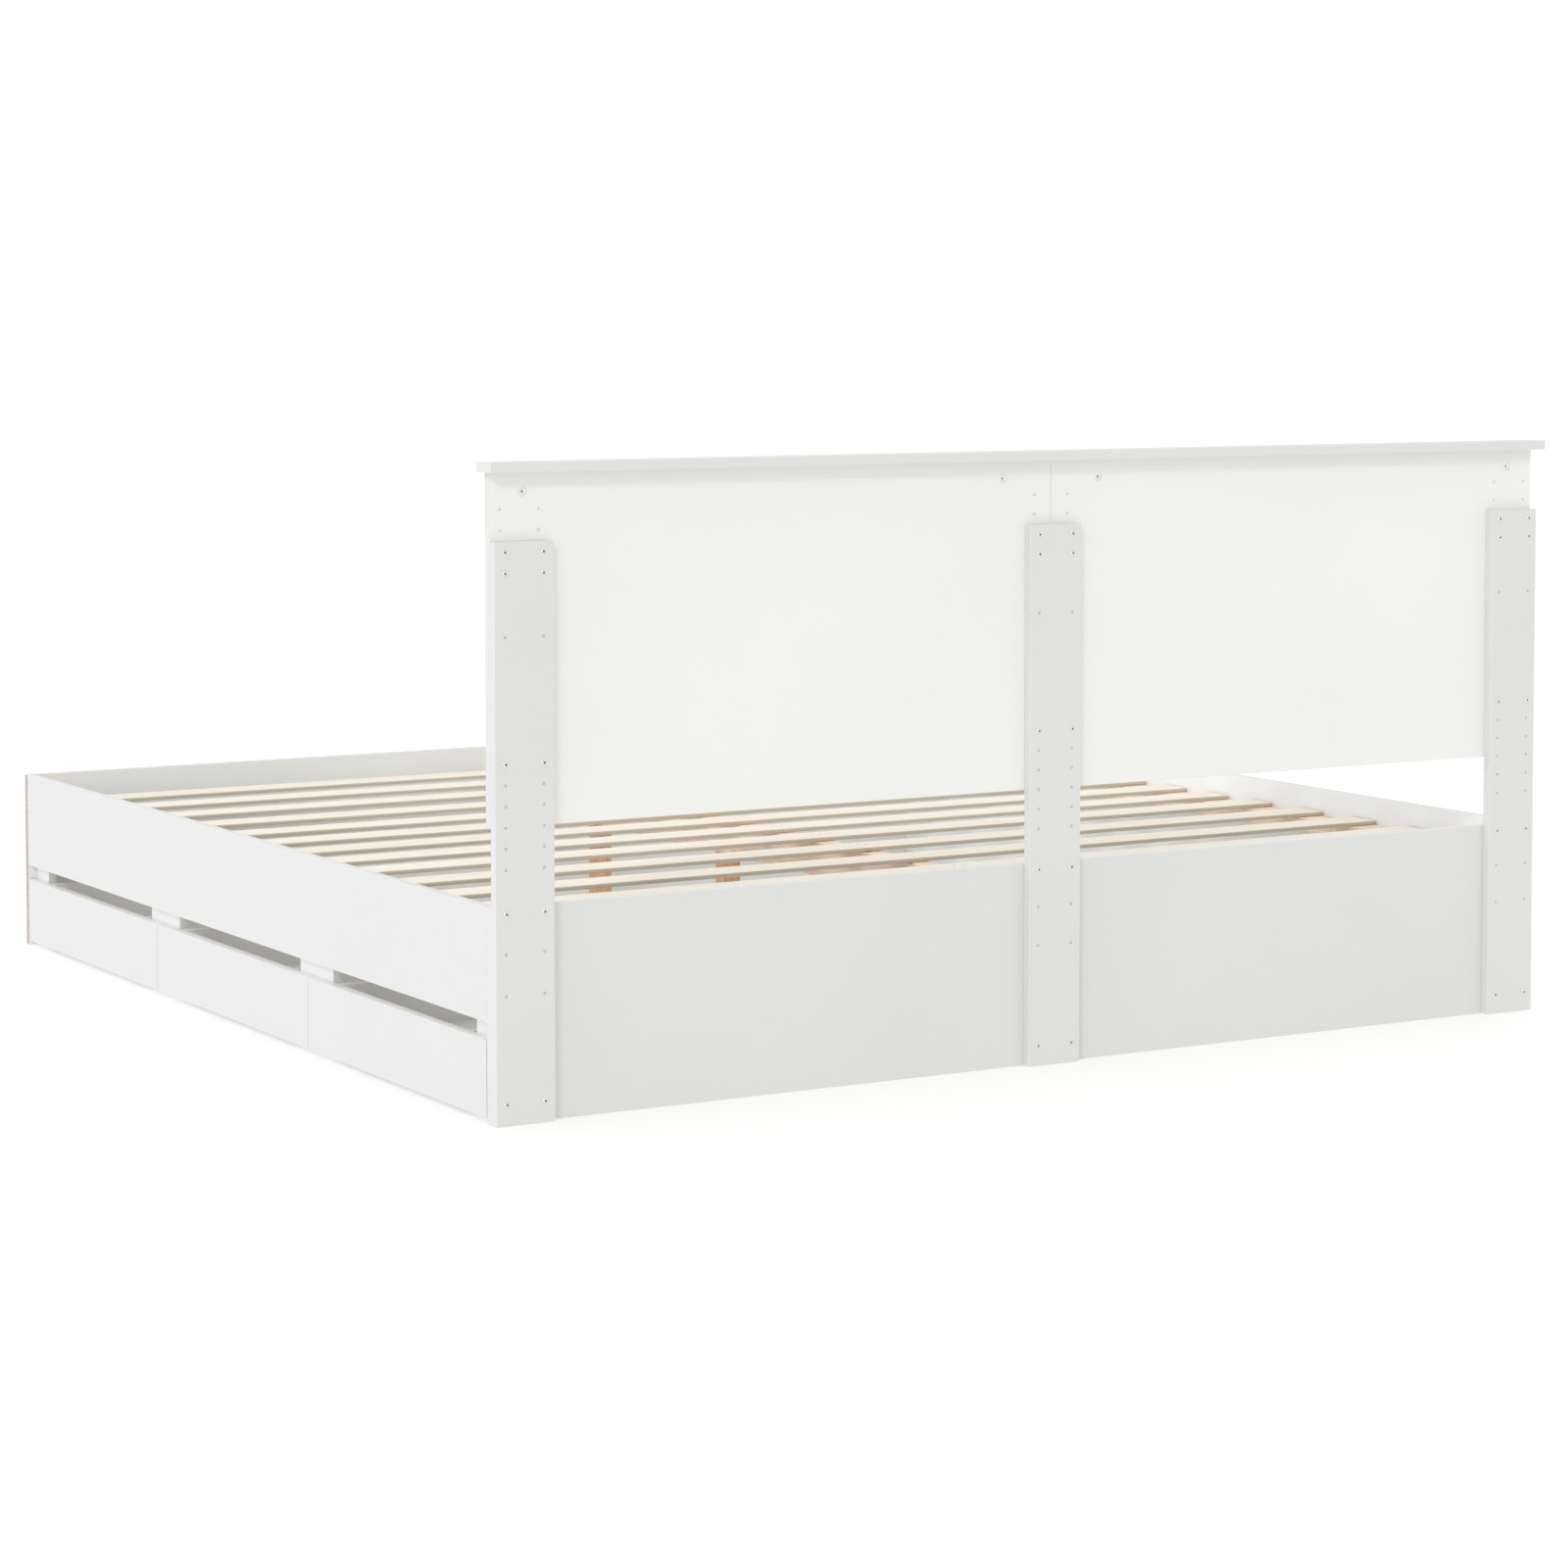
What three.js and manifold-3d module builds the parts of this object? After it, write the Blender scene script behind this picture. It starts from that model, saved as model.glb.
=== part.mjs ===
// Double bed frame of white boards with a tall headboard on three posts, a slatted base
// on ledges and a centre beam, and three roll-out drawers along one side.
//
// Millimetres, +Z up. The origin is on the floor under the middle of the bed.
// +Y is the head end and +X is the side that the drawers pull out from.

import * as THREE from "three";
import { mergeVertices } from "three/addons/utils/BufferGeometryUtils.js";
import Module from "manifold-3d";

const wasm = await Module();
wasm.setup();

// Driving dimensions
const BOARD = 16; // thickness of every white board
const CLEAR = 0.3; // gap between pieces that touch
const BED_WIDTH = 2035; // over the outer faces of the two sides
const BED_LENGTH = 2059; // from the back of the posts to the outside of the foot board
const RAIL_TOP = 332;
const POST = { width: 100, height: 886, columnOffset: 32.5 };
const HEADBOARD = { bottom: 453, top: 990 };
const CAP = { depth: 50, endOverhang: 10.5, backOverhang: 10 };
const BAY_COUNT = 3;
const SIDE_RAIL_BOTTOM = 155.5;
const LEG = { middleWidth: 134, top: 255.4 };
const LEDGE = { width: 60, height: 28 };
const SLAT = { count: 13, width: 70, thickness: 8, length: 1996, top: 292, edgeRadius: 3 };
const SLAT_PITCH = { middle: 138, outer: 157, middleSteps: 2 };
const BEAM = { width: 40, height: 60 };
const CENTRE_LEG = { size: 33, spacing: 510, middleFromHead: 1048 };
const HOLE = { radius: 2.5, depth: 2, segments: 16 };
const POST_HOLE_ROWS = [198, 262, 390, 422, 454, 486, 518, 742];
const PANEL_HOLE_ROWS = [902, 934];
const CAM = { radius: 7.5, depth: 12.5, z: 961, inner: 93.5, outer: 962, segments: 20 };
const FRONT = { bottom: 8, top: 128.5, gap: 1, endGap: 2 };
const DRAWER = { depth: 600, sideBottom: 10, legClearance: 16 };
const DRAWER_FLOOR = { bottom: 44, thickness: 6 };
const WHEEL = { radius: 20, width: 12, rimChamfer: 1.5, hubRadius: 9, hubHeight: 1, segments: 18 };
const AXLE = { radius: 4.2, holeRadius: 4.6, length: 10, inset: 60, holeSegments: 18 };
const ARC_STEPS = 4;

// Places worked out from the driving dimensions
const halfWidth = BED_WIDTH / 2;
const halfLength = (BED_LENGTH + CAP.backOverhang) / 2;
const postBack = halfLength - CAP.backOverhang;
const postFront = postBack - BOARD;
const headInner = postFront - BOARD;
const footOuter = -halfLength;
const footInner = footOuter + BOARD;
const innerLength = headInner - footInner;
const innerHalfWidth = halfWidth - BOARD;
const bayPitch = innerLength / BAY_COUNT;
const slatBottom = SLAT.top - SLAT.thickness;
const supportTop = slatBottom - CLEAR;
const drawerWidth = bayPitch - LEG.middleWidth - 2 * DRAWER.legClearance;

// Materials
function material(color, roughness) {
  return new THREE.MeshStandardMaterial({ color, roughness, metalness: 0 });
}

const whiteBoard = material(0xf1f1f0, 0.45);
const slatWood = material(0xf5e8d6, 0.6);
const rawPine = material(0xc98f62, 0.7);
const greyPlastic = material(0x8d9093, 0.5);

// Solids
function boxBetween(low, high) {
  const size = high.map((value, axis) => value - low[axis]);
  const geometry = new THREE.BoxGeometry(...size);
  geometry.translate(...high.map((value, axis) => (value + low[axis]) / 2));
  return geometry;
}

function toSolid(geometry) {
  const bare = geometry.clone();
  bare.deleteAttribute("normal");
  bare.deleteAttribute("uv");
  const merged = mergeVertices(bare);
  const vertProperties = new Float32Array(merged.attributes.position.array);
  const triVerts = new Uint32Array(merged.index.array);
  return new wasm.Manifold(new wasm.Mesh({ numProp: 3, vertProperties, triVerts }));
}

function toGeometry(solid) {
  const { vertProperties, triVerts } = solid.getMesh();
  const geometry = new THREE.BufferGeometry();
  geometry.setAttribute("position", new THREE.BufferAttribute(vertProperties, 3));
  geometry.setIndex(new THREE.BufferAttribute(triVerts, 1));
  geometry.computeVertexNormals();
  return geometry;
}

function cut(geometry, tools) {
  const solid = tools.reduce((rest, tool) => rest.subtract(toSolid(tool)), toSolid(geometry));
  return toGeometry(solid);
}

// A blind hole bored along -Y from the face at y = faceY.
function boreFromBack(x, faceY, z, bore) {
  const reach = 1;
  const length = bore.depth + reach;
  const tool = new THREE.CylinderGeometry(bore.radius, bore.radius, length, bore.segments);
  tool.translate(x, faceY + reach - length / 2, z);
  return tool;
}

const bed = new THREE.Group();

function addPart(name, geometry, surface, parent = bed) {
  const mesh = new THREE.Mesh(geometry, surface);
  mesh.name = name;
  parent.add(mesh);
  return mesh;
}

// Headboard: three posts, two panel halves that meet behind the middle post, and a cap
const postOffset = halfWidth - POST.width / 2;
const postCentres = { drawer_side: postOffset, middle: 0, far_side: -postOffset };

function postColumns(centre) {
  return [centre - POST.columnOffset, centre + POST.columnOffset];
}

function makePost(centre) {
  const half = POST.width / 2;
  const board = boxBetween([centre - half, postFront + CLEAR, 0], [centre + half, postBack, POST.height]);
  const holes = POST_HOLE_ROWS.flatMap((z) =>
    postColumns(centre).map((x) => boreFromBack(x, postBack, z, HOLE)));
  return cut(board, holes);
}

function makeHeadboardPanel(side) {
  const inner = side * (CLEAR / 2);
  const outer = side * halfWidth;
  const low = [Math.min(inner, outer), headInner, HEADBOARD.bottom];
  const high = [Math.max(inner, outer), postFront, HEADBOARD.top - CLEAR];
  const columns = Object.values(postCentres)
    .flatMap(postColumns)
    .filter((x) => x * side > 0);
  const holes = PANEL_HOLE_ROWS.flatMap((z) =>
    columns.map((x) => boreFromBack(x, postFront, z, HOLE)));
  const cams = [CAM.inner, CAM.outer].map((x) => boreFromBack(side * x, postFront, CAM.z, CAM));
  return cut(boxBetween(low, high), [...holes, ...cams]);
}

function addHeadboard() {
  for (const [place, centre] of Object.entries(postCentres)) {
    addPart(`post_${place}`, makePost(centre), whiteBoard);
  }
  addPart("headboard_panel_drawer_side", makeHeadboardPanel(1), whiteBoard);
  addPart("headboard_panel_far_side", makeHeadboardPanel(-1), whiteBoard);
  const capEnd = halfWidth + CAP.endOverhang;
  const capLow = [-capEnd, halfLength - CAP.depth, HEADBOARD.top];
  const capHigh = [capEnd, halfLength, HEADBOARD.top + BOARD];
  addPart("headboard_cap", boxBetween(capLow, capHigh), whiteBoard);
}

// Outer boards of the base
function addBaseBoards() {
  const headRail = boxBetween([-halfWidth, headInner, 0], [halfWidth, postFront, RAIL_TOP]);
  addPart("head_rail", headRail, whiteBoard);
  const footBoard = boxBetween([-halfWidth, footOuter, 0], [halfWidth, footInner, RAIL_TOP]);
  addPart("foot_board", footBoard, whiteBoard);
  const sideRail = boxBetween(
    [innerHalfWidth, footInner + CLEAR, SIDE_RAIL_BOTTOM],
    [halfWidth, headInner - CLEAR, RAIL_TOP]);
  addPart("drawer_side_rail", sideRail, whiteBoard);
  const farPanel = boxBetween(
    [-halfWidth, footInner + CLEAR, 0],
    [-innerHalfWidth, headInner - CLEAR, RAIL_TOP]);
  addPart("far_side_panel", farPanel, whiteBoard);
}

// Leg boards behind the drawer fronts, numbered from the foot end
function addLegBoards() {
  const outer = innerHalfWidth - CLEAR;
  for (let index = 0; index <= BAY_COUNT; index += 1) {
    const centre = footInner + index * bayPitch;
    const low = Math.max(centre - LEG.middleWidth / 2, footInner + CLEAR);
    const high = Math.min(centre + LEG.middleWidth / 2, headInner - CLEAR);
    const board = boxBetween([outer - BOARD, low, 0], [outer, high, LEG.top]);
    addPart(`leg_board_${index + 1}`, board, whiteBoard);
  }
}

// Raw timber under the slats: two ledges, the centre beam and its three legs
function addSlatSupports() {
  const outer = innerHalfWidth - CLEAR;
  const inner = outer - LEDGE.width;
  const bottom = supportTop - LEDGE.height;
  const foot = footInner + CLEAR;
  const head = headInner - CLEAR;
  const drawerLedge = boxBetween([inner, foot, bottom], [outer, head, supportTop]);
  addPart("slat_ledge_drawer_side", drawerLedge, rawPine);
  const farLedge = boxBetween([-outer, foot, bottom], [-inner, head, supportTop]);
  addPart("slat_ledge_far_side", farLedge, rawPine);

  const beamBottom = supportTop - BEAM.height;
  const beam = boxBetween([-BEAM.width / 2, foot, beamBottom], [BEAM.width / 2, head, supportTop]);
  addPart("centre_beam", beam, rawPine);
  const half = CENTRE_LEG.size / 2;
  const middleY = headInner - CENTRE_LEG.middleFromHead;
  for (const step of [-1, 0, 1]) {
    const y = middleY + step * CENTRE_LEG.spacing;
    const leg = boxBetween([-half, y - half, 0], [half, y + half, beamBottom - CLEAR]);
    addPart(`centre_leg_${step + 2}`, leg, rawPine);
  }
}

// Slats: closer together under the middle of the mattress, numbered from the foot end
function slatCentre(index) {
  const steps = index - (SLAT.count - 1) / 2;
  const near = Math.min(Math.abs(steps), SLAT_PITCH.middleSteps);
  const beyond = Math.abs(steps) - near;
  const offset = near * SLAT_PITCH.middle + beyond * SLAT_PITCH.outer;
  return (footInner + headInner) / 2 + Math.sign(steps) * offset;
}

function slatSection() {
  const x = SLAT.width / 2 - SLAT.edgeRadius;
  const y = SLAT.thickness / 2 - SLAT.edgeRadius;
  const quarter = Math.PI / 2;
  const shape = new THREE.Shape();
  shape.absarc(x, y, SLAT.edgeRadius, 0, quarter);
  shape.absarc(-x, y, SLAT.edgeRadius, quarter, 2 * quarter);
  shape.absarc(-x, -y, SLAT.edgeRadius, 2 * quarter, 3 * quarter);
  shape.absarc(x, -y, SLAT.edgeRadius, 3 * quarter, 4 * quarter);
  shape.closePath();
  return shape;
}

function addSlats() {
  const section = slatSection();
  const settings = { depth: SLAT.length, steps: 1, bevelEnabled: false, curveSegments: ARC_STEPS };
  for (let index = 0; index < SLAT.count; index += 1) {
    const slat = new THREE.ExtrudeGeometry(section, settings);
    const number = String(index + 1).padStart(2, "0");
    const mesh = addPart(`slat_${number}`, slat, slatWood);
    mesh.rotation.set(0, Math.PI / 2, Math.PI / 2);
    mesh.position.set(-SLAT.length / 2, slatCentre(index), SLAT.top - SLAT.thickness / 2);
  }
}

// Drawers: each is a group whose origin is on the floor, in the middle of its bay and at
// the back of its front board. X points out of the bed.
function drawerSide(side) {
  const outer = side * (drawerWidth / 2);
  const inner = outer - side * BOARD;
  const low = [-DRAWER.depth, Math.min(inner, outer), DRAWER.sideBottom];
  const high = [-CLEAR, Math.max(inner, outer), FRONT.top];
  const holes = wheelPlaces().map((x) => {
    const tool = new THREE.CylinderGeometry(
      AXLE.holeRadius, AXLE.holeRadius, 2 * BOARD, AXLE.holeSegments);
    tool.translate(x, (inner + outer) / 2, WHEEL.radius);
    return tool;
  });
  return cut(boxBetween(low, high), holes);
}

function wheelPlaces() {
  return [-AXLE.inset, AXLE.inset - DRAWER.depth];
}

function makeWheel() {
  const { radius, width, rimChamfer, hubRadius, hubHeight } = WHEEL;
  const hubEnd = AXLE.length + hubHeight;
  const profile = [
    [0, 0],
    [AXLE.radius, 0],
    [AXLE.radius, AXLE.length],
    [hubRadius, AXLE.length],
    [hubRadius, hubEnd],
    [radius - rimChamfer, hubEnd],
    [radius, hubEnd + rimChamfer],
    [radius, hubEnd + width - rimChamfer],
    [radius - rimChamfer, hubEnd + width],
    [0, hubEnd + width],
  ].map(([r, along]) => new THREE.Vector2(r, along));
  return new THREE.LatheGeometry(profile, WHEEL.segments);
}

// The axle stub points at the drawer's side board and ends inside its hole.
function addWheels(drawer, name) {
  const stubEnd = drawerWidth / 2 - BOARD + AXLE.length - WHEEL.hubHeight;
  let number = 1;
  for (const side of [-1, 1]) {
    for (const x of wheelPlaces()) {
      const wheel = addPart(`${name}_wheel_${number}`, makeWheel(), greyPlastic, drawer);
      wheel.position.set(x, side * stubEnd, WHEEL.radius);
      wheel.rotation.x = side > 0 ? Math.PI : 0;
      number += 1;
    }
  }
}

// The fronts nearly touch each other and stand a little clear of the foot board and head rail.
function drawerFront(number) {
  const footGap = number === 1 ? FRONT.endGap : FRONT.gap / 2;
  const headGap = number === BAY_COUNT ? FRONT.endGap : FRONT.gap / 2;
  return boxBetween(
    [0, footGap - bayPitch / 2, FRONT.bottom],
    [BOARD, bayPitch / 2 - headGap, FRONT.top]);
}

function addDrawer(number, centreY) {
  const name = `drawer_${number}`;
  const drawer = new THREE.Group();
  drawer.position.set(innerHalfWidth, centreY, 0);
  bed.add(drawer);
  addPart(`${name}_front`, drawerFront(number), whiteBoard, drawer);
  addPart(`${name}_foot_side`, drawerSide(-1), whiteBoard, drawer);
  addPart(`${name}_head_side`, drawerSide(1), whiteBoard, drawer);
  const innerHalf = drawerWidth / 2 - BOARD - CLEAR;
  const backFront = BOARD - DRAWER.depth;
  const back = boxBetween(
    [-DRAWER.depth, -innerHalf, DRAWER.sideBottom],
    [backFront, innerHalf, FRONT.top]);
  addPart(`${name}_back`, back, whiteBoard, drawer);
  const floorTop = DRAWER_FLOOR.bottom + DRAWER_FLOOR.thickness;
  const floor = boxBetween(
    [backFront + CLEAR, -innerHalf, DRAWER_FLOOR.bottom],
    [-CLEAR, innerHalf, floorTop]);
  addPart(`${name}_bottom`, floor, whiteBoard, drawer);
  addWheels(drawer, name);
}

addHeadboard();
addBaseBoards();
addLegBoards();
addSlatSupports();
addSlats();
for (let bay = 0; bay < BAY_COUNT; bay += 1) {
  addDrawer(bay + 1, footInner + (bay + 0.5) * bayPitch);
}

export default bed;
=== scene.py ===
# Studio scene for the double bed frame: finishes, rounded board edges, fasteners, drawer
# wheels, light and camera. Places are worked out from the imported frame, in metres.

import math

import bmesh
import bpy
from mathutils import Matrix, Vector


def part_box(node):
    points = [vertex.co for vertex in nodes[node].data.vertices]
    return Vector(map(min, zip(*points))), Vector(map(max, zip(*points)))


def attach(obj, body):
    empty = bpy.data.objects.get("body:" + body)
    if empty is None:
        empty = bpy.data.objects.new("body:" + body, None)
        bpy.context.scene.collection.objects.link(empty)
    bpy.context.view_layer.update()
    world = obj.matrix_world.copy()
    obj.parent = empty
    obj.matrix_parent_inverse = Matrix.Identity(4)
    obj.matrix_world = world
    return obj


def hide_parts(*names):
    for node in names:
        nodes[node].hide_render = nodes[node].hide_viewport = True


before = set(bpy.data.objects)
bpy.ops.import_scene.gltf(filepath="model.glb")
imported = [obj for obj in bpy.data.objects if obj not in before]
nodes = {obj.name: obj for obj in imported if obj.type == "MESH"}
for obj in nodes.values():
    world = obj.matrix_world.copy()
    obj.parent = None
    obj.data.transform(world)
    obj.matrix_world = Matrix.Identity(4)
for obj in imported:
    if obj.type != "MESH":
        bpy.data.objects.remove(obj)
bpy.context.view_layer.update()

X, Y, Z = 0, 1, 2
MM = 0.001

# Edges
WELD_DISTANCE = 0.01 * MM
BOARD_ROUNDING = 0.9 * MM
FINE_ROUNDING = 0.4 * MM
SLAT_ROUNDING = 1.0 * MM
TIMBER_ROUNDING = 1.2 * MM
ROUNDING_STEPS = 3
ROUNDED_ANGLE = math.radians(50)
OUTER_EDGE_REACH = 0.02 * MM
SHARP_ANGLE = math.radians(35)

# Fasteners: a screw is its head's radius and how far it stands proud
POST_SCREW = (4.0 * MM, 2.2 * MM)
SLAT_SCREW = (3.4 * MM, 2.2 * MM)
LEDGE_SCREW = (3.8 * MM, 0.4 * MM)
DRAWER_SCREW = (3.6 * MM, 0.3 * MM)
POST_SCREW_COLUMN = 32.5 * MM
POST_SCREW_HEIGHTS = [33 * MM, 323 * MM, 550 * MM, 838 * MM, 870 * MM]
CAM_PLACES = [-962 * MM, -93.5 * MM, 93.5 * MM, 962 * MM]
CAM_HEIGHT = 961 * MM
CAM_RADIUS = 7.3 * MM
CAM_DEPTH = 5 * MM
HEADBOARD_CAM_TOP = -0.2 * MM
DRAWER_CAM_TOP = 0.4 * MM
SLAT_SCREW_OFFSET = 8.8 * MM
LEDGE_SCREW_COUNT = 7
DRAWER_FASTENER_HEIGHTS = [32 * MM, 104 * MM]
CAM_FROM_FRONT = 34 * MM

# Wheels
WHEEL_HUB_SIDE = 11 * MM
WHEEL_STUB = 10 * MM
RIB_THICKNESS = 1.2 * MM
RIB_BASE = 4.4 * MM
RIB_TOP = 1.5 * MM

# Camera and light
CAMERA_PLACE = Vector((3.687, 6.418, 1.231))
CAMERA_TURN = math.radians(30.471)
CAMERA_DIP = math.radians(3.381)
CAMERA_LENS = 92.154
CAMERA_SENSOR = 36
CAMERA_SHIFT = -0.15
FLOOR_SIZE = 60.0
FLOOR_DROP = 0.5 * MM
FLOOR_GLOW = 0.5
SHADED_FLOOR_GLOW = 0.15
FAR_GLOW_INSET = 8 * MM
DRAWER_GLOW_INSET = 30 * MM
DRAWER_SIDE_GAIN = 0.22
FOOT_END_LEVEL = 1.03
HEAD_END_LEVEL = 0.75
SUN_DIRECTION = Vector((1.1, 1.0, 0.92))
SUN_ENERGY = 0.5
SUN_SOFTNESS = math.radians(8)


# Material building

class Surface:
    """A material while it is being built round its Principled shader."""

    def __init__(self, name):
        self.material = bpy.data.materials.new(name)
        self.material.use_nodes = True
        self.tree = self.material.node_tree
        self.shader = self.tree.nodes["Principled BSDF"]
        self.coordinates = self.node("ShaderNodeTexCoord")
        self.place = self.coordinates.outputs["Object"]
        self.bump_chain = None

    def node(self, kind, sockets=None, **settings):
        """Adds a node. Each socket takes a value or another node's output."""
        made = self.tree.nodes.new(kind)
        for key, value in settings.items():
            setattr(made, key, value)
        for key, value in (sockets or {}).items():
            self.feed(made.inputs[key], value)
        return made

    def feed(self, socket, value):
        if isinstance(value, bpy.types.NodeSocket):
            self.tree.links.new(value, socket)
        else:
            socket.default_value = value

    def stretched(self, axis, amount):
        """The surface's coordinates, drawn out along one axis like wood grain."""
        scale = [1.0, 1.0, 1.0]
        scale[axis] = 1 / amount
        return self.node("ShaderNodeMapping", {"Vector": self.place, "Scale": scale}).outputs[0]

    def noise(self, size, detail=2.0, distortion=0.0, vector=None):
        """Soft noise whose features are about size metres across."""
        sockets = {
            "Vector": vector or self.place,
            "Scale": 1 / size,
            "Detail": detail,
            "Distortion": distortion,
        }
        return self.node("ShaderNodeTexNoise", sockets).outputs["Fac"]

    def remap(self, value, low, high, to_low, to_high):
        sockets = {"Value": value, "From Min": low, "From Max": high,
                   "To Min": to_low, "To Max": to_high}
        return self.node("ShaderNodeMapRange", sockets).outputs["Result"]

    def calculate(self, operation, first, second):
        return self.node("ShaderNodeMath", {0: first, 1: second}, operation=operation).outputs[0]

    def blend(self, factor, first, second):
        """A colour between two colours."""
        mixer = self.node("ShaderNodeMix", data_type="RGBA")
        self.feed(mixer.inputs["Factor"], factor)
        self.feed(mixer.inputs[6], first)
        self.feed(mixer.inputs[7], second)
        return mixer.outputs[2]

    def scaled(self, tint, gain):
        """A colour made lighter or darker."""
        return self.node("ShaderNodeVectorMath", {0: tint, "Scale": gain}, operation="SCALE").outputs[0]

    def tinted(self, base, tint):
        """Two colours multiplied."""
        return self.node("ShaderNodeVectorMath", {0: base, 1: tint}, operation="MULTIPLY").outputs[0]

    def bump(self, height, distance):
        sockets = {"Height": height, "Distance": distance, "Strength": 1.0}
        if self.bump_chain is not None:
            sockets["Normal"] = self.bump_chain
        self.bump_chain = self.node("ShaderNodeBump", sockets).outputs["Normal"]

    def facing(self, axis):
        """1 on faces that look along the axis either way, 0 elsewhere."""
        parts = self.node("ShaderNodeSeparateXYZ", {"Vector": self.coordinates.outputs["Normal"]})
        size = self.calculate("ABSOLUTE", parts.outputs[axis], 0.0)
        return self.calculate("GREATER_THAN", size, 0.75)

    def finished(self, **sockets):
        """Feeds the shader and returns the material."""
        for key, value in sockets.items():
            self.feed(self.shader.inputs[key.replace("_", " ")], value)
        if self.bump_chain is not None:
            self.tree.links.new(self.bump_chain, self.shader.inputs["Normal"])
        return self.material


def colour(red, green, blue, gain=1.0):
    return (red * gain, green * gain, blue * gain, 1.0)


# Materials

# TONE is the boards' white. BRIGHT is a lighter copy of it: the headboard panel's own lighter white,
# and elsewhere painted light on faces and boards that the lamps leave too dark.
TONE = 0.715
BRIGHT = 0.85


def grey(level, cool=0.0):
    """A near-white, bluer the cooler it is."""
    return colour((1.0 - cool) * level, level, (0.995 + cool) * level)


def melamine_colour(surface, ends, faces, tops, cool=0.0):
    """White decor paper: faint clouding and a finer print speckle. The three tones are for
    faces that look along X, Y and Z: painted light, a face made lighter or darker by the way it looks.
    Those along Y are a touch warmer, painted warm light, and cool makes the tones bluer, painted
    against warm bounced light."""
    # Painted light: each facing gets its own tone, warmer along Y, and all tones bluer with cool.
    warm = colour((1.0 - cool) * faces, 1.003 * faces, (0.97 + cool) * faces)
    base = surface.blend(surface.facing(X), warm, grey(ends, cool))
    base = surface.blend(surface.facing(Z), base, grey(tops, cool))
    cloud = surface.remap(surface.noise(0.35, 3.0), 0.3, 0.7, 0.985, 1.01)
    speckle = surface.remap(surface.noise(0.0016, 1.0), 0.35, 0.65, 1.0, 0.99)
    return surface.scaled(base, surface.calculate("MULTIPLY", cloud, speckle))


def melamine_relief(surface):
    """The pearl texture of the press plate over a slightly wavy core."""
    surface.bump(surface.noise(0.045, 1.0), 0.05 * MM)
    surface.bump(surface.noise(0.0022, 2.0), 0.03 * MM)


def make_melamine(name, ends=TONE, faces=TONE, tops=TONE, cool=0.0):
    surface = Surface(name)
    melamine_relief(surface)
    sheen = surface.remap(surface.noise(0.02, 3.0), 0.3, 0.7, 0.4, 0.5)
    paper = melamine_colour(surface, ends, faces, tops, cool)
    return surface.finished(Base_Color=paper, Roughness=sheen)


def make_board_edge(name, tone):
    """The rounded edge of a board: glossier tape, rubbed duller in patches."""
    surface = Surface(name)
    rub = surface.remap(surface.noise(0.012, 4.0), 0.58, 0.72, 0.0, 1.0)
    worn = surface.blend(rub, grey(1.04 * tone), grey(0.9 * tone))
    surface.bump(surface.noise(0.004, 3.0), 0.08 * MM)
    sheen = surface.remap(rub, 0.0, 1.0, 0.32, 0.6)
    return surface.finished(Base_Color=worn, Roughness=sheen)


def chipboard_colour(surface):
    """Pressed wood chips of mixed tans."""
    sockets = {"Vector": surface.place, "Scale": 480.0, "Randomness": 1.0}
    chips = surface.node("ShaderNodeTexVoronoi", sockets)
    shade = surface.node("ShaderNodeSeparateColor", {"Color": chips.outputs["Color"]})
    tan = surface.blend(shade.outputs[0], colour(0.38, 0.3, 0.235), colour(0.65, 0.6, 0.55))
    dust = surface.noise(0.0012, 3.0)
    return surface.blend(surface.remap(dust, 0.5, 0.8, 0.0, 0.6), tan, colour(0.31, 0.24, 0.18))


def make_board_with_raw_ends(name):
    """Melamine faces with the chipboard core showing on both ends."""
    surface = Surface(name)
    ends = surface.facing(X)
    melamine_relief(surface)
    rough_core = surface.calculate("MULTIPLY", surface.noise(0.0015, 3.0), ends)
    surface.bump(rough_core, 0.4 * MM)
    # Painted light: the faces along Y take the lighter tone, and all tones are a touch bluer against
    # warm bounced light.
    faces = melamine_colour(surface, TONE, BRIGHT, TONE, 0.01)
    sheen = surface.remap(ends, 0.0, 1.0, 0.45, 0.9)
    mixed = surface.blend(ends, faces, chipboard_colour(surface))
    return surface.finished(Base_Color=mixed, Roughness=sheen)


def make_slat_wood(name, pale, dark, end, side_shade_tint, contrast, roughness, relief):
    """Planed wood with its grain along X, darker, browner painted shade on the faces along Y, and
    darker, ringed end grain.
    """
    surface = Surface(name)
    grain_space = surface.stretched(X, 22)
    streaks = surface.noise(0.016, 5.0, 1.4, grain_space)
    fibres = surface.noise(0.0022, 3.0, 0.3, grain_space)
    pores = surface.noise(0.0009, 2.0, 0.0, surface.stretched(X, 14))
    plank = surface.noise(0.09, 0.0, 0.0, surface.stretched(X, 60))
    spread = surface.remap(streaks, 0.32, 0.68, 0.0, contrast)
    figure = surface.calculate("ADD", spread, surface.remap(plank, 0.3, 0.7, 0.0, 0.3 * contrast))
    figure = surface.calculate("ADD", figure, surface.remap(fibres, 0.45, 0.75, 0.0, 0.35 * contrast))
    long_grain = surface.blend(figure, colour(*pale), colour(*dark))
    # Painted shade: faces along Y, the slats' long edges, are darker and browner.
    sides = surface.blend(surface.facing(Y), colour(1.0, 1.0, 1.0), colour(*side_shade_tint))
    long_grain = surface.tinted(long_grain, sides)
    ringed = surface.blend(surface.noise(0.003, 4.0, 2.0), colour(*end), colour(*dark, gain=0.8))
    wood = surface.blend(surface.facing(X), long_grain, ringed)
    surface.bump(streaks, 0.25 * relief)
    surface.bump(fibres, 0.5 * relief)
    surface.bump(pores, 0.25 * relief)
    sheen = surface.remap(fibres, 0.3, 0.7, roughness - 0.06, roughness + 0.08)
    return surface.finished(Base_Color=wood, Roughness=sheen)


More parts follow.
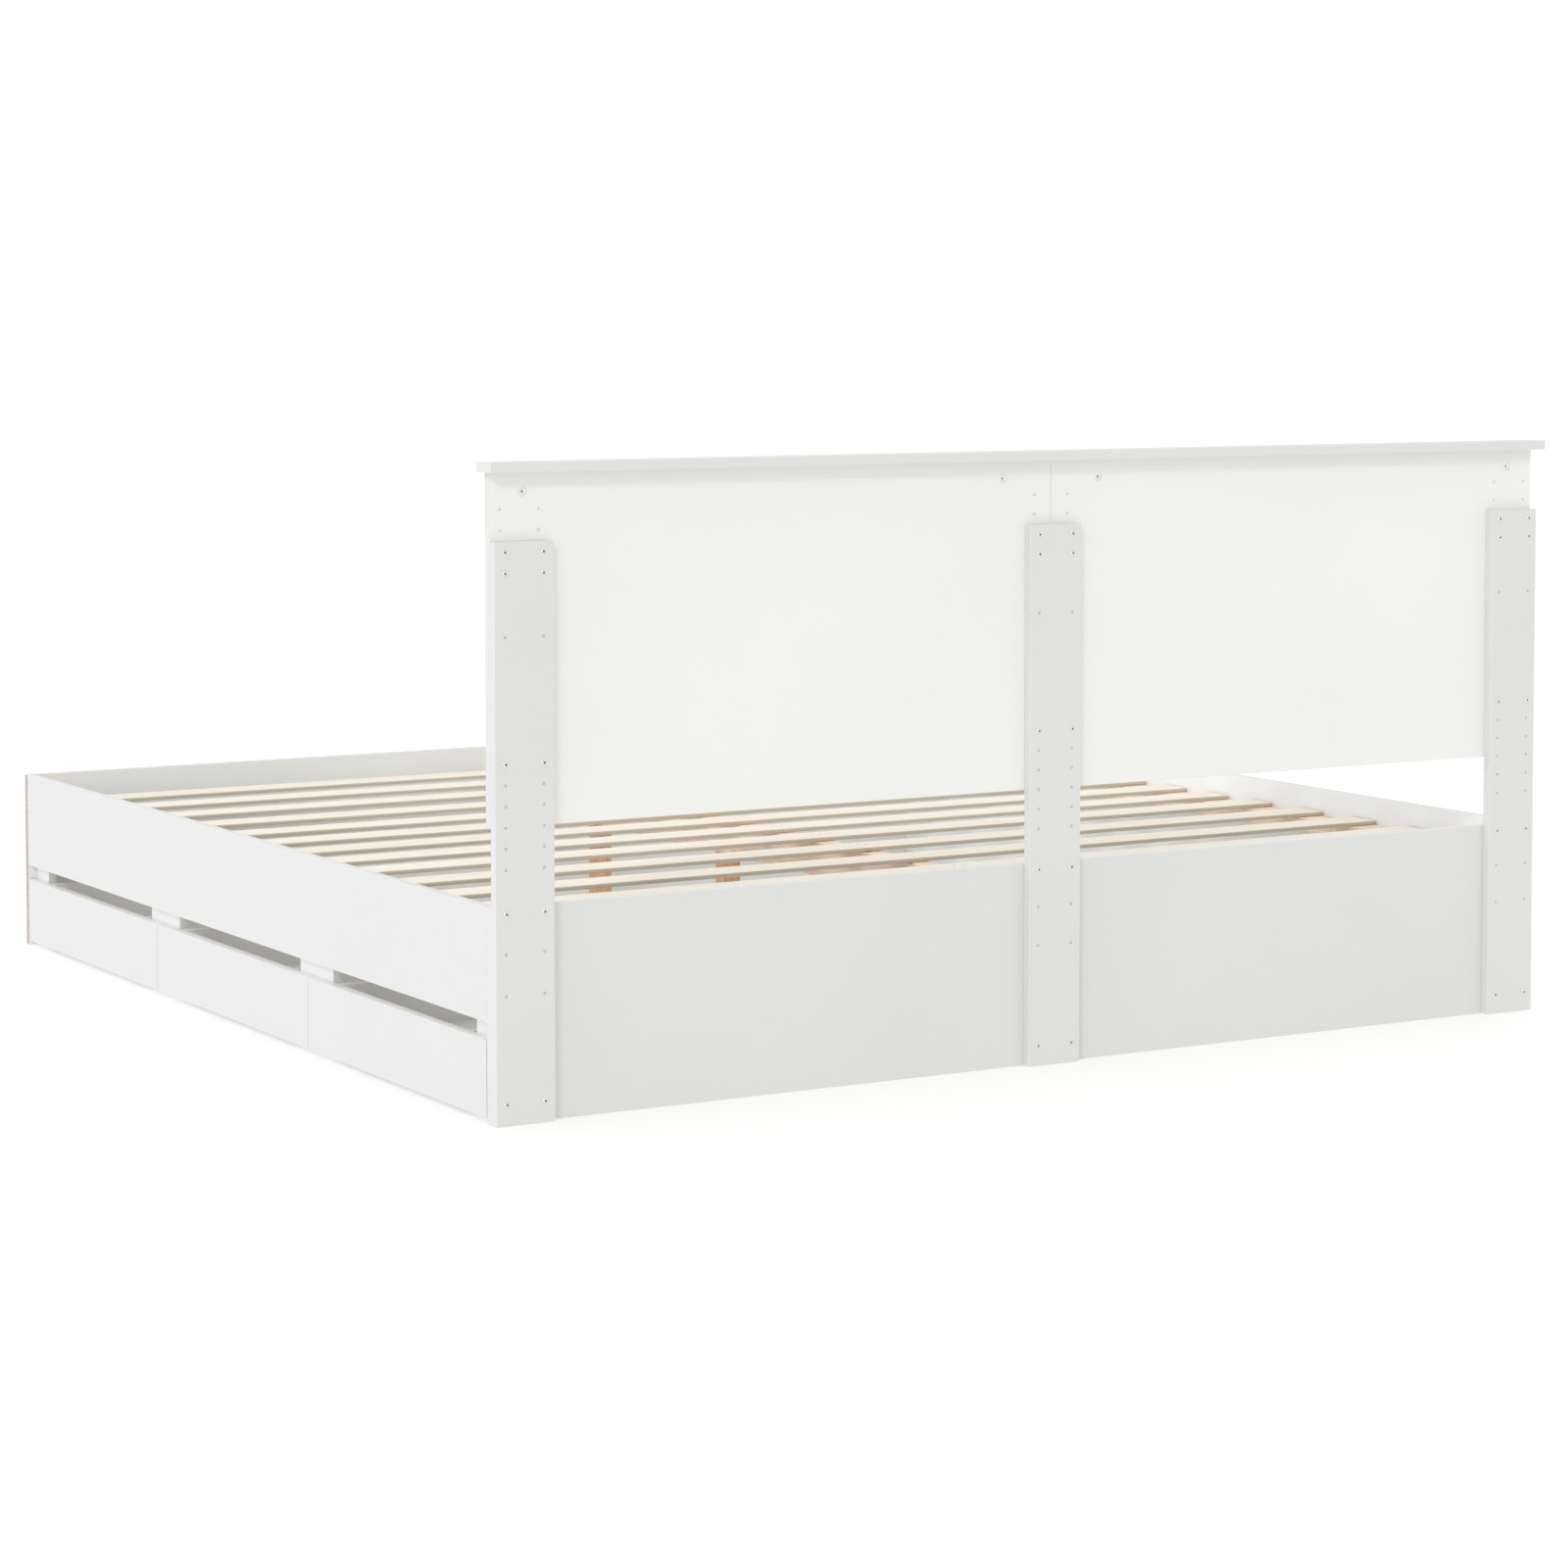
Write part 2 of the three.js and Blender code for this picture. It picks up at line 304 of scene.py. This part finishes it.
def make_knotty_pine(name, axis, pale, dark):
    """Rough-sawn pine: strong growth rings, saw marks and small knots."""
    surface = Surface(name)
    grain_space = surface.stretched(axis, 12)
    bands = surface.noise(0.011, 6.0, 2.2, grain_space)
    tint = surface.remap(bands, 0.35, 0.65, 0.0, 1.0)
    wood = surface.blend(tint, colour(*pale), colour(*dark))
    sockets = {"Vector": surface.stretched(axis, 3), "Scale": 14.0, "Randomness": 1.0}
    cells = surface.node("ShaderNodeTexVoronoi", sockets).outputs["Distance"]
    knot = surface.remap(cells, 0.05, 0.1, 1.0, 0.0)
    wood = surface.blend(knot, wood, colour(0.2, 0.09, 0.05))
    ends = surface.facing(axis)
    wood = surface.blend(ends, wood, colour(*dark, gain=0.75))
    saw_marks = surface.noise(0.0035, 2.0, 0.6)
    surface.bump(bands, 0.3 * MM)
    surface.bump(saw_marks, 0.25 * MM)
    sheen = surface.remap(saw_marks, 0.3, 0.7, 0.68, 0.86)
    return surface.finished(Base_Color=wood, Roughness=sheen)


def make_zinc(name):
    surface = Surface(name)
    patches = surface.noise(0.004, 3.0)
    plating = surface.blend(patches, colour(0.82, 0.83, 0.84), colour(0.93, 0.93, 0.93))
    surface.bump(surface.noise(0.0007, 3.0), 0.03 * MM)
    sheen = surface.remap(patches, 0.3, 0.7, 0.26, 0.42)
    return surface.finished(Base_Color=plating, Metallic=1.0, Roughness=sheen)


def make_painted_recess_shade(name):
    """Near-black metal down in a driver recess: painted shade."""
    surface = Surface(name)
    patches = surface.noise(0.001, 3.0)
    # Painted shade: the metal in the recess is near-black.
    steel = surface.blend(patches, colour(0.05, 0.05, 0.055), colour(0.13, 0.13, 0.13))
    surface.bump(patches, 0.05 * MM)
    sheen = surface.remap(patches, 0.3, 0.7, 0.5, 0.7)
    return surface.finished(Base_Color=steel, Metallic=1.0, Roughness=sheen)


def make_plastic(name, tone):
    surface = Surface(name)
    drift = surface.noise(0.006, 3.0)
    moulded = surface.blend(drift, colour(*tone, gain=0.92), colour(*tone, gain=1.08))
    surface.bump(surface.noise(0.0006, 2.0), 0.04 * MM)
    sheen = surface.remap(drift, 0.3, 0.7, 0.42, 0.58)
    return surface.finished(Base_Color=moulded, Roughness=sheen)


def make_floor_finish(low, high):
    """A pale floor that glows softly, like a light table, except between two corners."""
    surface = Surface("studio_floor")
    drift = surface.noise(0.8, 2.0)
    parts = surface.node("ShaderNodeSeparateXYZ", {"Vector": surface.place}).outputs
    inside = 1.0
    for axis in (X, Y):
        above = surface.calculate("GREATER_THAN", parts[axis], low[axis])
        below = surface.calculate("LESS_THAN", parts[axis], high[axis])
        inside = surface.calculate("MULTIPLY", inside, surface.calculate("MULTIPLY", above, below))
    lit = surface.blend(drift, grey(0.46), grey(0.48))
    pale = surface.blend(inside, lit, grey(0.85))
    glow = surface.remap(inside, 0.0, 1.0, FLOOR_GLOW, SHADED_FLOOR_GLOW)
    surface.bump(surface.noise(0.01, 2.0), 0.05 * MM)
    return surface.finished(Base_Color=pale, Roughness=0.7, Emission_Color=colour(1, 1, 1),
                            Emission_Strength=glow)


BOARD = make_melamine("white_board")
# Painted light: the far panel's faces along X, its inner face among them, are lighter and bluer than
# the board white.
FAR_BOARD = make_melamine("far_board", ends=0.93, cool=0.035)
# Painted light: the fronts' top faces, in the shade under the rail, take the lighter tone.
FRONT_BOARD = make_melamine("front_board", tops=BRIGHT)
HEADBOARD_BOARD = make_melamine("headboard_board", faces=BRIGHT, tops=BRIGHT)
# Painted light: leg boards and drawer boxes, in the shade inside the bed, are a lighter, slightly bluer
# copy of the board white.
INNER_BOARD = make_melamine("inner_board", ends=BRIGHT, faces=BRIGHT, tops=BRIGHT, cool=0.006)
BOARD_EDGE = make_board_edge("white_board_edge", TONE)
# Painted light: a lighter copy of the edge finish for the far panel, leg boards and drawer boxes.
BRIGHT_EDGE = make_board_edge("bright_board_edge", BRIGHT)
RAW_ENDED_BOARD = make_board_with_raw_ends("white_board_raw_ends")
# The slats' side tint is painted shade on their long edges.
SLAT_WOOD = make_slat_wood(
    "slat_wood", pale=(0.9, 0.845, 0.745), dark=(0.79, 0.7, 0.57), end=(0.6, 0.5, 0.38),
    side_shade_tint=(0.68, 0.66, 0.615), contrast=0.5, roughness=0.55, relief=0.12 * MM)
BEAM_PINE = make_knotty_pine("sawn_pine", Y, pale=(0.93, 0.77, 0.66), dark=(0.8, 0.58, 0.44))
# Painted shade: the uprights under the slats are a darker, more orange copy of the sawn pine.
LEG_PINE = make_knotty_pine("sawn_pine_upright", Z, pale=(0.78, 0.5, 0.31), dark=(0.56, 0.3, 0.16))
ZINC = make_zinc("zinc_steel")
PAINTED_RECESS_SHADE = make_painted_recess_shade("recess_painted_shade")
WHEEL_PLASTIC = make_plastic("grey_plastic", (0.32, 0.33, 0.34))


# CAD nodes: finishes and rounded edges

def make_outer_edge_marker():
    """Geometry nodes that give full bevel weight to the edges of a board's outer box only, so
    that drilled holes keep their crisp rims."""
    group = bpy.data.node_groups.new("mark_outer_edges", "GeometryNodeTree")
    group.interface.new_socket("Geometry", in_out="INPUT", socket_type="NodeSocketGeometry")
    group.interface.new_socket("Geometry", in_out="OUTPUT", socket_type="NodeSocketGeometry")

    def add(kind, inputs, **settings):
        made = group.nodes.new(kind)
        for key, value in settings.items():
            setattr(made, key, value)
        for key, value in inputs.items():
            if isinstance(value, bpy.types.NodeSocket):
                group.links.new(value, made.inputs[key])
            else:
                made.inputs[key].default_value = value
        return made.outputs

    whole = group.nodes.new("NodeGroupInput").outputs[0]
    box = add("GeometryNodeBoundBox", {0: whole})
    place = group.nodes.new("GeometryNodeInputPosition").outputs[0]
    count = 0.0
    for corner in ("Min", "Max"):
        away = add("ShaderNodeVectorMath", {0: place, 1: box[corner]}, operation="SUBTRACT")[0]
        for part in add("ShaderNodeSeparateXYZ", {0: away}):
            near = add("ShaderNodeMath", {0: part, 1: 0.0, 2: OUTER_EDGE_REACH}, operation="COMPARE")
            count = add("ShaderNodeMath", {0: count, 1: near[0]}, operation="ADD")[0]
    weight = add("ShaderNodeMath", {0: count, 1: 1.5}, operation="GREATER_THAN")[0]
    marked = add("GeometryNodeStoreNamedAttribute",
                 {"Geometry": whole, "Name": "bevel_weight_edge", "Value": weight},
                 data_type="FLOAT", domain="EDGE")
    group.links.new(marked[0], group.nodes.new("NodeGroupOutput").inputs[0])
    return group


MARK_OUTER_EDGES = make_outer_edge_marker()


def add_rounding(board, width, limit):
    bevel = board.modifiers.new("round_edges", "BEVEL")
    bevel.width = width
    bevel.segments = ROUNDING_STEPS
    bevel.limit_method = limit
    bevel.angle_limit = ROUNDED_ANGLE
    bevel.use_clamp_overlap = False
    bevel.harden_normals = True
    return bevel


def dress(name, material):
    """Gives a CAD node its finish and joins its faces up, ready for rounding."""
    board = nodes[name]
    board.data.materials.clear()
    board.data.materials.append(material)
    weld = board.modifiers.new("join_corners", "WELD")
    weld.merge_threshold = WELD_DISTANCE
    return board


def finish_board(name, material, edge_finish, width=BOARD_ROUNDING):
    """A board with rounded outer edges that have their own finish."""
    board = dress(name, material)
    board.data.materials.append(edge_finish)
    marker = board.modifiers.new("mark_outer_edges", "NODES")
    marker.node_group = MARK_OUTER_EDGES
    add_rounding(board, width, "WEIGHT").material = 1


def finish_stick(name, material, width):
    add_rounding(dress(name, material), width, "ANGLE")


def names_starting(*starts):
    return sorted(name for name in nodes if name.startswith(starts))


def finish_boards():
    for name in names_starting("post_", "headboard_cap", "head_rail", "drawer_side"):
        finish_board(name, BOARD, BOARD_EDGE)
    finish_board("foot_board", RAW_ENDED_BOARD, BOARD_EDGE)
    for name in names_starting("headboard_panel"):
        finish_board(name, HEADBOARD_BOARD, BOARD_EDGE, FINE_ROUNDING)
    finish_board("far_side_panel", FAR_BOARD, BRIGHT_EDGE)
    for name in names_starting("leg_board"):
        finish_board(name, INNER_BOARD, BRIGHT_EDGE)
    for name in names_starting("drawer_1", "drawer_2", "drawer_3"):
        if name.endswith("_front"):
            finish_board(name, FRONT_BOARD, BOARD_EDGE, FINE_ROUNDING)
        elif "_wheel_" not in name:
            finish_board(name, INNER_BOARD, BRIGHT_EDGE, FINE_ROUNDING)


def finish_timber():
    for name in names_starting("slat_ledge", "centre_beam"):
        finish_stick(name, BEAM_PINE, TIMBER_ROUNDING)
    for name in names_starting("centre_leg"):
        finish_stick(name, LEG_PINE, TIMBER_ROUNDING)
    for name in names_starting("slat_0", "slat_1"):
        finish_stick(name, SLAT_WOOD, SLAT_ROUNDING)


# Mesh building

def lathe(profile, segments):
    """A closed solid turned round Z, from (radius, height) points between two on the axis."""
    build = bmesh.new()
    angles = [2 * math.pi * step / segments for step in range(segments)]
    rings = []
    for radius, height in profile:
        if radius == 0:
            rings.append([build.verts.new((0, 0, height))])
        else:
            rings.append([build.verts.new((radius * math.cos(a), radius * math.sin(a), height))
                          for a in angles])
    for lower, upper in zip(rings, rings[1:]):
        for step in range(segments):
            ahead = (step + 1) % segments
            corners = [lower[step % len(lower)], lower[ahead % len(lower)],
                       upper[ahead % len(upper)], upper[step % len(upper)]]
            build.faces.new(list(dict.fromkeys(corners)))
    return to_mesh(build)


def to_mesh(build):
    bmesh.ops.recalc_face_normals(build, faces=build.faces[:])
    mesh = bpy.data.meshes.new("made")
    build.to_mesh(mesh)
    build.free()
    return mesh


def cross_cutter(reach, width, depth, top):
    """A tapered plus-shaped prism that cuts a driver recess down from height top."""
    half = width / 2
    corner = [(half, half), (half, reach), (-half, reach)]
    outline = []
    for turn in range(4):
        spin = Matrix.Rotation(turn * math.pi / 2, 2)
        outline += [spin @ Vector(point) for point in corner]
    build = bmesh.new()
    above = [build.verts.new((p.x * 1.1, p.y * 1.1, top + depth * 0.2)) for p in outline]
    below = [build.verts.new((p.x * 0.45, p.y * 0.45, top - depth)) for p in outline]
    build.faces.new(above)
    build.faces.new(list(reversed(below)))
    for step in range(len(outline)):
        ahead = (step + 1) % len(outline)
        build.faces.new([below[step], below[ahead], above[ahead], above[step]])
    return to_mesh(build)


def cut_recess(solid, reach, width, depth, top):
    """The solid with a driver recess, whose faces take the second material, the painted recess shade.
    """
    mesh = carve(solid, cross_cutter(reach, width, depth, top))
    for face in mesh.polygons:
        centre = face.center
        inside = math.hypot(centre.x, centre.y) < 1.05 * reach
        if inside and top - 1.02 * depth < centre.z < top - 0.3 * depth:
            face.material_index = 1
    return mesh


def carve(solid, cutter):
    """The solid's mesh with the cutter's mesh cut out of it."""
    body = bpy.data.objects.new("carved", solid)
    tool = bpy.data.objects.new("cutter", cutter)
    for part in (body, tool):
        bpy.context.scene.collection.objects.link(part)
    cut = body.modifiers.new("cut", "BOOLEAN")
    cut.operation = "DIFFERENCE"
    cut.solver = "EXACT"
    cut.object = tool
    graph = bpy.context.evaluated_depsgraph_get()
    mesh = bpy.data.meshes.new_from_object(body.evaluated_get(graph))
    for part in (body, tool):
        bpy.data.objects.remove(part)
    return mesh


def place_copies(name, mesh, places, material, body):
    """One piece made of copies of a mesh, each at its own matrix in the frame. Driver recesses,
    where the mesh has any, take the second material, painted shade."""
    build = bmesh.new()
    for place in places:
        copy = mesh.copy()
        copy.transform(place)
        build.from_mesh(copy)
        bpy.data.meshes.remove(copy)
    whole = bpy.data.meshes.new(name)
    build.to_mesh(whole)
    build.free()
    whole.materials.append(material)
    whole.materials.append(PAINTED_RECESS_SHADE)
    whole.shade_smooth()
    whole.set_sharp_from_angle(angle=SHARP_ANGLE)
    piece = bpy.data.objects.new(name, whole)
    bpy.context.scene.collection.objects.link(piece)
    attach(piece, body)
    return piece


# Turned so that a fastener made along +Z looks out along the named direction
OUTWARD = {
    "+X": Matrix.Rotation(math.pi / 2, 4, "Y"),
    "-X": Matrix.Rotation(-math.pi / 2, 4, "Y"),
    "+Y": Matrix.Rotation(-math.pi / 2, 4, "X"),
    "-Y": Matrix.Rotation(math.pi / 2, 4, "X"),
    "+Z": Matrix.Identity(4),
}


def on_face(place, direction, twist=0.0):
    spin = Matrix.Rotation(twist, 4, "Z")
    return Matrix.Translation(place) @ OUTWARD[direction] @ spin


def twist_for(number):
    """Screws are driven home at different angles."""
    return math.radians(37 * number % 90)


def pan_head_screw(radius, height, segments=32):
    """A domed head with a cross recess, and a short shank below the face."""
    steps = 6
    sweep = [math.pi / 2 * step / steps for step in range(steps + 1)]
    dome = [(radius * math.cos(a) ** 0.6, height * (0.25 + 0.75 * math.sin(a))) for a in sweep[:-1]]
    profile = [(0, -2 * height), (0.45 * radius, -2 * height), (0.45 * radius, 0),
               (radius, 0), *dome, (0, height)]
    return cut_recess(lathe(profile, segments), 0.66 * radius, 0.34 * radius, 0.85 * height, height)


def flat_head_screw(radius, proud, segments=32):
    """A countersunk head that stands slightly proud, with a cross recess."""
    profile = [(0, -radius), (0.4 * radius, -radius), (radius, -0.2 * radius),
               (radius, 0.6 * proud), (0.92 * radius, proud), (0, proud)]
    return cut_recess(lathe(profile, segments), 0.55 * radius, 0.22 * radius, 0.45 * radius, proud)


def cam_lock(radius, top, segments=40):
    """A cam disc with a raised rim and a cross recess in a shallow dish."""
    edge = 0.3 * MM
    dish = top - 0.5 * MM
    profile = [(0, -CAM_DEPTH), (radius, -CAM_DEPTH), (radius, top - edge), (radius - edge, top),
               (0.8 * radius, top), (0.76 * radius, dish), (0, dish)]
    return cut_recess(lathe(profile, segments), 0.5 * radius, 0.16 * radius, 2.4 * MM, dish)


# Fasteners on the bed

def add_post_screws():
    head = pan_head_screw(*POST_SCREW)
    for name in names_starting("post_"):
        low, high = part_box(name)
        centre = (low.x + high.x) / 2
        places = []
        for height in POST_SCREW_HEIGHTS:
            for side in (-1, 1):
                spot = (centre + side * POST_SCREW_COLUMN, high.y, height)
                places.append(on_face(spot, "+Y", twist_for(len(places))))
        place_copies(f"screws_{name}", head, places, ZINC, "bed")


def add_headboard_cams():
    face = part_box("headboard_panel_drawer_side")[1].y
    disc = cam_lock(CAM_RADIUS, HEADBOARD_CAM_TOP)
    places = [on_face((x, face, CAM_HEIGHT), "+Y", twist_for(number))
              for number, x in enumerate(CAM_PLACES)]
    place_copies("headboard_cams", disc, places, ZINC, "bed")


def add_slat_screws():
    head = pan_head_screw(*SLAT_SCREW, segments=20)
    places = []
    for name in names_starting("slat_0", "slat_1"):
        low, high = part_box(name)
        for side in (-1, 1):
            spot = (side * SLAT_SCREW_OFFSET, (low.y + high.y) / 2, high.z)
            places.append(on_face(spot, "+Z", twist_for(len(places))))
    place_copies("slat_screws", head, places, ZINC, "bed")


def add_ledge_screws():
    head = flat_head_screw(*LEDGE_SCREW, segments=20)
    for name, direction in (("slat_ledge_drawer_side", "-X"), ("slat_ledge_far_side", "+X")):
        low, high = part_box(name)
        face = low.x if direction == "-X" else high.x
        step = (high.y - low.y) / LEDGE_SCREW_COUNT
        places = [on_face((face, low.y + (number + 0.5) * step, (low.z + high.z) / 2),
                          direction, twist_for(number))
                  for number in range(LEDGE_SCREW_COUNT)]
        place_copies(f"screws_{name}", head, places, ZINC, "bed")


# Drawers

def add_drawer_fasteners(drawer):
    """Screws through the sides into the back, and cams that hold the front."""
    screw = flat_head_screw(*DRAWER_SCREW, segments=24)
    cam = cam_lock(CAM_RADIUS, DRAWER_CAM_TOP)
    back_low, back_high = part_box(f"{drawer}_back")
    back = (back_low.x + back_high.x) / 2
    screws, cams = [], []
    for side, outward, inward in (("foot", "-Y", "+Y"), ("head", "+Y", "-Y")):
        low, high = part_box(f"{drawer}_{side}_side")
        outer, inner = (low.y, high.y) if side == "foot" else (high.y, low.y)
        for height in DRAWER_FASTENER_HEIGHTS:
            screws.append(on_face((back, outer, height), outward, twist_for(len(screws))))
        for height in DRAWER_FASTENER_HEIGHTS[1:]:
            cams.append(on_face((high.x - CAM_FROM_FRONT, inner, height), inward))
    place_copies(f"{drawer}_screws", screw, screws, ZINC, drawer)
    place_copies(f"{drawer}_cams", cam, cams, ZINC, drawer)


def wheel_mesh(radius, hub_side, tread_side, stub):
    """A wheel round Z: axle stub, hub, dished webs, and a crowned grooved tread; the ribs in its dish
    are made by wheel_ribs.
    Heights run from the stub's end at 0 to the wheel's open face."""
    width = tread_side - hub_side
    middle = (hub_side + tread_side) / 2
    edge = 1.2 * MM
    groove = 0.6 * MM
    profile = [(0, 0), (0.21 * radius, 0), (0.21 * radius, stub), (0.45 * radius, stub),
               (0.45 * radius, hub_side), (0.8 * radius, hub_side), (radius - edge, hub_side),
               (radius - 0.3 * edge, hub_side + 0.3 * edge), (radius - 0.1 * MM, hub_side + edge),
               (radius, middle - 2 * groove), (radius - groove, middle - groove),
               (radius - groove, middle + groove), (radius, middle + 2 * groove),
               (radius - 0.1 * MM, tread_side - edge), (radius - 0.3 * edge, tread_side - 0.3 * edge),
               (radius - edge, tread_side), (0.82 * radius, tread_side),
               (0.78 * radius, tread_side - 0.35 * width), (0.4 * radius, tread_side - 0.35 * width),
               (0.36 * radius, tread_side - 0.05 * width), (0.2 * radius, tread_side - 0.05 * width),
               (0.17 * radius, tread_side - 0.1 * width), (0, tread_side - 0.1 * width)]
    return lathe(profile, 48)


def wheel_ribs(radius, base, top, count=6):
    """Thin radial ribs in the dish of a wheel."""
    build = bmesh.new()
    for number in range(count):
        size = Matrix.Diagonal((0.44 * radius, RIB_THICKNESS, top - base, 1))
        shift = Matrix.Translation((0.59 * radius, 0, (base + top) / 2))
        spin = Matrix.Rotation(2 * math.pi * number / count, 4, "Z")
        bmesh.ops.create_cube(build, size=1, matrix=spin @ shift @ size)
    return to_mesh(build)


def joined(*meshes):
    build = bmesh.new()
    for mesh in meshes:
        build.from_mesh(mesh)
    return to_mesh(build)


def add_wheel(name):
    """A detailed wheel in the space of the CAD one, on the same axis."""
    low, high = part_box(name)
    drawer = name.rsplit("_wheel_", 1)[0]
    middle = sum(corner.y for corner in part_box(f"{drawer}_front")) / 2
    toward_head = (low.y + high.y) / 2 < middle
    length = high.y - low.y
    radius = (high.z - low.z) / 2
    mesh = joined(wheel_mesh(radius, WHEEL_HUB_SIDE, length, WHEEL_STUB),
                  wheel_ribs(radius, length - RIB_BASE, length - RIB_TOP))
    start = low.y if toward_head else high.y
    place = on_face(((low.x + high.x) / 2, start, (low.z + high.z) / 2), "+Y" if toward_head else "-Y")
    piece = place_copies(f"{name}_detailed", mesh, [place], WHEEL_PLASTIC, name)
    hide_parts(name)


def finish_drawers():
    for number in (1, 2, 3):
        add_drawer_fasteners(f"drawer_{number}")
    for name in names_starting("drawer_"):
        if "_wheel_" in name:
            add_wheel(name)


# Studio

def add_floor():
    """The floor, which glows less under the bed, inside the boards' outer faces."""
    bpy.ops.mesh.primitive_plane_add(size=FLOOR_SIZE, location=(0, 0, -FLOOR_DROP))
    floor = bpy.context.object
    floor.name = "studio_floor"
    foot_low, foot_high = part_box("foot_board")
    head_low, head_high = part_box("head_rail")
    low = (foot_low.x + FAR_GLOW_INSET, (foot_low.y + foot_high.y) / 2)
    high = (foot_high.x - DRAWER_GLOW_INSET, (head_low.y + head_high.y) / 2)
    floor.data.materials.append(make_floor_finish(low, high))


def add_world():
    """White surroundings, dimmer towards the head end and brighter on the drawer side."""
    world = bpy.data.worlds.new("studio")
    bpy.context.scene.world = world
    world.use_nodes = True
    tree = world.node_tree
    background = tree.nodes["Background"]
    direction = tree.nodes.new("ShaderNodeTexCoord").outputs["Generated"]
    parts = tree.nodes.new("ShaderNodeSeparateXYZ")
    tree.links.new(direction, parts.inputs["Vector"])
    levels = []
    for axis, start, end in (("X", 0.0, DRAWER_SIDE_GAIN), ("Y", FOOT_END_LEVEL, HEAD_END_LEVEL)):
        level = tree.nodes.new("ShaderNodeMapRange")
        level.inputs["To Min"].default_value = start
        level.inputs["To Max"].default_value = end
        tree.links.new(parts.outputs[axis], level.inputs["Value"])
        levels.append(level.outputs["Result"])
    total = tree.nodes.new("ShaderNodeMath")
    for socket, level in zip(total.inputs, levels):
        tree.links.new(level, socket)
    tree.links.new(total.outputs[0], background.inputs["Strength"])
    background.inputs["Color"].default_value = (1, 1, 1, 1)


def add_sun():
    light = bpy.data.lights.new("soft_sun", "SUN")
    light.energy = SUN_ENERGY
    light.angle = SUN_SOFTNESS
    sun = bpy.data.objects.new("soft_sun", light)
    sun.rotation_euler = SUN_DIRECTION.to_track_quat("Z", "Y").to_euler()
    bpy.context.scene.collection.objects.link(sun)


def add_camera():
    lens = bpy.data.cameras.new("camera")
    lens.lens = CAMERA_LENS
    lens.sensor_width = CAMERA_SENSOR
    lens.shift_y = CAMERA_SHIFT
    camera = bpy.data.objects.new("camera", lens)
    camera.location = CAMERA_PLACE
    level = math.cos(CAMERA_DIP)
    forward = Vector((-math.sin(CAMERA_TURN) * level, -math.cos(CAMERA_TURN) * level,
                      -math.sin(CAMERA_DIP)))
    camera.rotation_euler = forward.to_track_quat("-Z", "Y").to_euler()
    bpy.context.scene.collection.objects.link(camera)
    bpy.context.scene.camera = camera


finish_boards()
finish_timber()
add_post_screws()
add_headboard_cams()
add_slat_screws()
add_ledge_screws()
finish_drawers()
add_floor()
add_world()
add_sun()
add_camera()
bpy.context.scene.view_settings.view_transform = "Standard"
